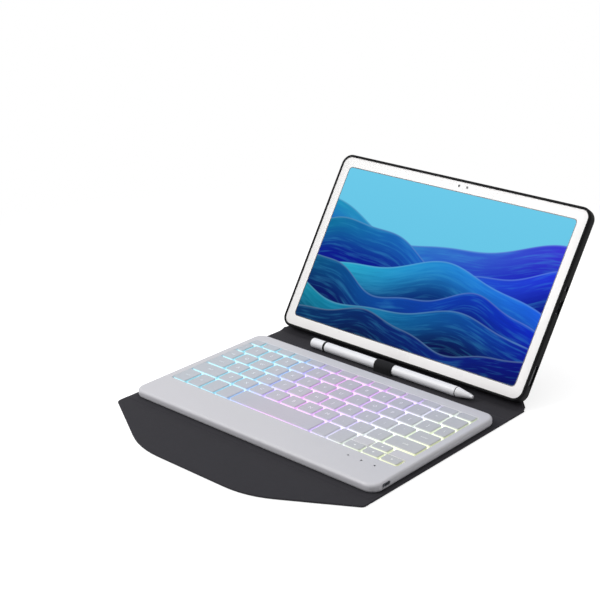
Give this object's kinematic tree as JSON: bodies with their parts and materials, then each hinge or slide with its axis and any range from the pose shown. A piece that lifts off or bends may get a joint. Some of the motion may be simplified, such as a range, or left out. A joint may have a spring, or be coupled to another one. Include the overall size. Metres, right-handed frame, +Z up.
{
  "type": "tablet keyboard case",
  "caption": "Folio case standing open: a flat base with a lit keyboard, a closing flap, a stylus in a loop, and a leaning back cover whose tray grips a tablet on two folded side legs.",
  "frame": {"origin": "centre of the base panel's underside, on the table", "axes": "+X to the user's right, -Y to the front flap, +Y to the leaning back cover, +Z up"},
  "size_m": [0.2484, 0.3366, 0.1398],
  "materials": {
    "cover_fabric": "woven charcoal cloth over board",
    "lining": "fine microfibre",
    "elastic": "woven elastic",
    "tray_rubber": "satin soft plastic",
    "tablet_metal": "fine blasted",
    "bezel": "white under clear glass",
    "display": "lit display with a plain wave pattern",
    "lens": "dark lens",
    "stylus_white": "smooth white",
    "stylus_black": "matt black",
    "keyboard_plastic": "fine grain pale grey",
    "key_plastic": "smooth translucent pale grey",
    "light_guide": "milky, lit in bands of colour",
    "steel": "plain sheet",
    "magnet": "nickel plated",
    "rubber_clear": "milky silicone",
    "circuit": "green circuit board",
    "battery_foil": "wrapped cell",
    "clip_plastic": "natural plastic"
  },
  "bodies": {
    "base": {"base_cover": "cover_fabric", "base_liner": "lining", "base_magnets": "magnet"},
    "front_strip": {"front_strip": "cover_fabric"},
    "front_flap": {"front_flap": "cover_fabric", "flap_magnets": "magnet"},
    "spine": {"spine_panel": "cover_fabric", "stylus_loop": "elastic"},
    "back_cover": {"back_center_panel": "cover_fabric", "tablet_tray": "tray_rubber", "tray_lip": "tray_rubber"},
    "left_leg": {"back_left_panel": "cover_fabric", "left_leg_magnet": "magnet"},
    "right_leg": {"back_right_panel": "cover_fabric", "right_leg_magnet": "magnet"},
    "tablet": {"tablet_housing": "tablet_metal", "tablet_front_frame": "bezel", "tablet_display": "display", "tablet_front_camera": "lens", "tablet_rear_camera": "lens"},
    "power_button": {"tablet_power_button": "tablet_metal"},
    "volume_button": {"tablet_volume_button": "tablet_metal"},
    "stylus": {"stylus_barrel": "stylus_white", "stylus_end_cap": "stylus_white", "stylus_ring": "stylus_black", "stylus_cone": "stylus_white"},
    "keyboard": {"keyboard_bottom_case": "keyboard_plastic", "keyboard_top_case": "keyboard_plastic", "light_guide": "light_guide", "support_plate": "steel", "key_membrane": "circuit", "rubber_domes": "rubber_clear", "scissor_clips": "clip_plastic", "battery": "battery_foil", "control_board": "circuit", "keyboard_usb_socket": "steel", "indicator_lights": "clip_plastic", "keyboard_magnets": "magnet", "case_screws": "steel"},
    "function_row": {"function_keys": "key_plastic"},
    "number_row": {"number_keys": "key_plastic"},
    "upper_letter_row": {"upper_letter_keys": "key_plastic"},
    "home_letter_row": {"home_letter_keys": "key_plastic"},
    "lower_letter_row": {"lower_letter_keys": "key_plastic"},
    "backspace_key": {"backspace_key": "key_plastic"},
    "tab_key": {"tab_key": "key_plastic"},
    "caps_lock_key": {"caps_lock_key": "key_plastic"},
    "enter_key": {"enter_key": "key_plastic"},
    "left_shift_key": {"left_shift_key": "key_plastic"},
    "right_shift_key": {"right_shift_key": "key_plastic"},
    "left_control_key": {"left_control_key": "key_plastic"},
    "function_shift_key": {"function_shift_key": "key_plastic"},
    "left_command_key": {"left_command_key": "key_plastic"},
    "left_option_key": {"left_option_key": "key_plastic"},
    "space_bar": {"space_bar": "key_plastic"},
    "right_modifier_keys": {"right_modifier_keys": "key_plastic"},
    "left_arrow_key": {"left_arrow_key": "key_plastic"},
    "up_arrow_key": {"up_arrow_key": "key_plastic"},
    "down_arrow_key": {"down_arrow_key": "key_plastic"},
    "right_arrow_key": {"right_arrow_key": "key_plastic"}
  },
  "joints": [
    {"name": "front_strip_fold", "type": "hinge", "parent": "base", "child": "front_strip", "pos_m": [0, -0.0809, 0.0009], "axis": [-1, 0, 0], "range_deg": [0, 90]},
    {"name": "front_flap_fold", "type": "hinge", "parent": "front_strip", "child": "front_flap", "pos_m": [0, -0.104, 0.0009], "axis": [-1, 0, 0], "range_deg": [0, 90]},
    {"name": "spine_fold", "type": "hinge", "parent": "base", "child": "spine", "pos_m": [0, 0.0809, 0.0009], "axis": [-1, 0, 0], "range_deg": [-90, 0]},
    {"name": "back_cover_fold", "type": "hinge", "parent": "spine", "child": "back_cover", "pos_m": [0, 0.1019, 0.0009], "axis": [-1, 0, 0], "range_deg": [-33.23, 56.77]},
    {"name": "left_leg_fold", "type": "hinge", "parent": "back_cover", "child": "left_leg", "pos_m": [-0.1242, 0.1019, 0.0009], "axis": [0.6481, 0.4174, 0.637], "range_deg": [0, 120.54]},
    {"name": "right_leg_fold", "type": "hinge", "parent": "back_cover", "child": "right_leg", "pos_m": [0.1242, 0.1019, 0.0009], "axis": [0.6481, -0.4174, -0.637], "range_deg": [0, 120.54]},
    {"name": "tablet_removal", "type": "slide", "parent": "back_cover", "child": "tablet", "axis": [0, -0.8364, 0.548], "range_m": [0, 0.05], "deforming": ["tray_lip"]},
    {"name": "power_button_press", "type": "slide", "parent": "tablet", "child": "power_button", "axis": [0, -0.548, -0.8364], "range_m": [0, 0.0003], "stiffness_N_per_m": 1500},
    {"name": "volume_button_press", "type": "slide", "parent": "tablet", "child": "volume_button", "axis": [0, -0.548, -0.8364], "range_m": [0, 0.0003], "stiffness_N_per_m": 1500},
    {"name": "stylus_removal", "type": "slide", "parent": "spine", "child": "stylus", "axis": [1, 0, 0], "range_m": [0, 0.1]},
    {"name": "keyboard_lift", "type": "slide", "parent": "base", "child": "keyboard", "axis": [0, 0, 1], "range_m": [0, 0.04]},
    {"name": "function_keys_press", "type": "slide", "parent": "keyboard", "child": "function_row", "axis": [0, 0, -1], "range_m": [0, 0.0012], "stiffness_N_per_m": 400, "deforming": ["rubber_domes"]},
    {"name": "number_keys_press", "type": "slide", "parent": "keyboard", "child": "number_row", "axis": [0, 0, -1], "range_m": [0, 0.0012], "stiffness_N_per_m": 400},
    {"name": "upper_letter_keys_press", "type": "slide", "parent": "keyboard", "child": "upper_letter_row", "axis": [0, 0, -1], "range_m": [0, 0.0012], "stiffness_N_per_m": 400},
    {"name": "home_letter_keys_press", "type": "slide", "parent": "keyboard", "child": "home_letter_row", "axis": [0, 0, -1], "range_m": [0, 0.0012], "stiffness_N_per_m": 400},
    {"name": "lower_letter_keys_press", "type": "slide", "parent": "keyboard", "child": "lower_letter_row", "axis": [0, 0, -1], "range_m": [0, 0.0012], "stiffness_N_per_m": 400},
    {"name": "backspace_key_press", "type": "slide", "parent": "keyboard", "child": "backspace_key", "axis": [0, 0, -1], "range_m": [0, 0.0012], "stiffness_N_per_m": 400},
    {"name": "tab_key_press", "type": "slide", "parent": "keyboard", "child": "tab_key", "axis": [0, 0, -1], "range_m": [0, 0.0012], "stiffness_N_per_m": 400},
    {"name": "caps_lock_key_press", "type": "slide", "parent": "keyboard", "child": "caps_lock_key", "axis": [0, 0, -1], "range_m": [0, 0.0012], "stiffness_N_per_m": 400},
    {"name": "enter_key_press", "type": "slide", "parent": "keyboard", "child": "enter_key", "axis": [0, 0, -1], "range_m": [0, 0.0012], "stiffness_N_per_m": 400},
    {"name": "left_shift_key_press", "type": "slide", "parent": "keyboard", "child": "left_shift_key", "axis": [0, 0, -1], "range_m": [0, 0.0012], "stiffness_N_per_m": 400},
    {"name": "right_shift_key_press", "type": "slide", "parent": "keyboard", "child": "right_shift_key", "axis": [0, 0, -1], "range_m": [0, 0.0012], "stiffness_N_per_m": 400},
    {"name": "left_control_key_press", "type": "slide", "parent": "keyboard", "child": "left_control_key", "axis": [0, 0, -1], "range_m": [0, 0.0012], "stiffness_N_per_m": 400},
    {"name": "function_shift_key_press", "type": "slide", "parent": "keyboard", "child": "function_shift_key", "axis": [0, 0, -1], "range_m": [0, 0.0012], "stiffness_N_per_m": 400},
    {"name": "left_command_key_press", "type": "slide", "parent": "keyboard", "child": "left_command_key", "axis": [0, 0, -1], "range_m": [0, 0.0012], "stiffness_N_per_m": 400},
    {"name": "left_option_key_press", "type": "slide", "parent": "keyboard", "child": "left_option_key", "axis": [0, 0, -1], "range_m": [0, 0.0012], "stiffness_N_per_m": 400},
    {"name": "space_bar_press", "type": "slide", "parent": "keyboard", "child": "space_bar", "axis": [0, 0, -1], "range_m": [0, 0.0012], "stiffness_N_per_m": 400},
    {"name": "right_modifier_keys_press", "type": "slide", "parent": "keyboard", "child": "right_modifier_keys", "axis": [0, 0, -1], "range_m": [0, 0.0012], "stiffness_N_per_m": 400},
    {"name": "left_arrow_key_press", "type": "slide", "parent": "keyboard", "child": "left_arrow_key", "axis": [0, 0, -1], "range_m": [0, 0.0012], "stiffness_N_per_m": 400},
    {"name": "up_arrow_key_press", "type": "slide", "parent": "keyboard", "child": "up_arrow_key", "axis": [0, 0, -1], "range_m": [0, 0.0012], "stiffness_N_per_m": 400},
    {"name": "down_arrow_key_press", "type": "slide", "parent": "keyboard", "child": "down_arrow_key", "axis": [0, 0, -1], "range_m": [0, 0.0012], "stiffness_N_per_m": 400},
    {"name": "right_arrow_key_press", "type": "slide", "parent": "keyboard", "child": "right_arrow_key", "axis": [0, 0, -1], "range_m": [0, 0.0012], "stiffness_N_per_m": 400}
  ]
}
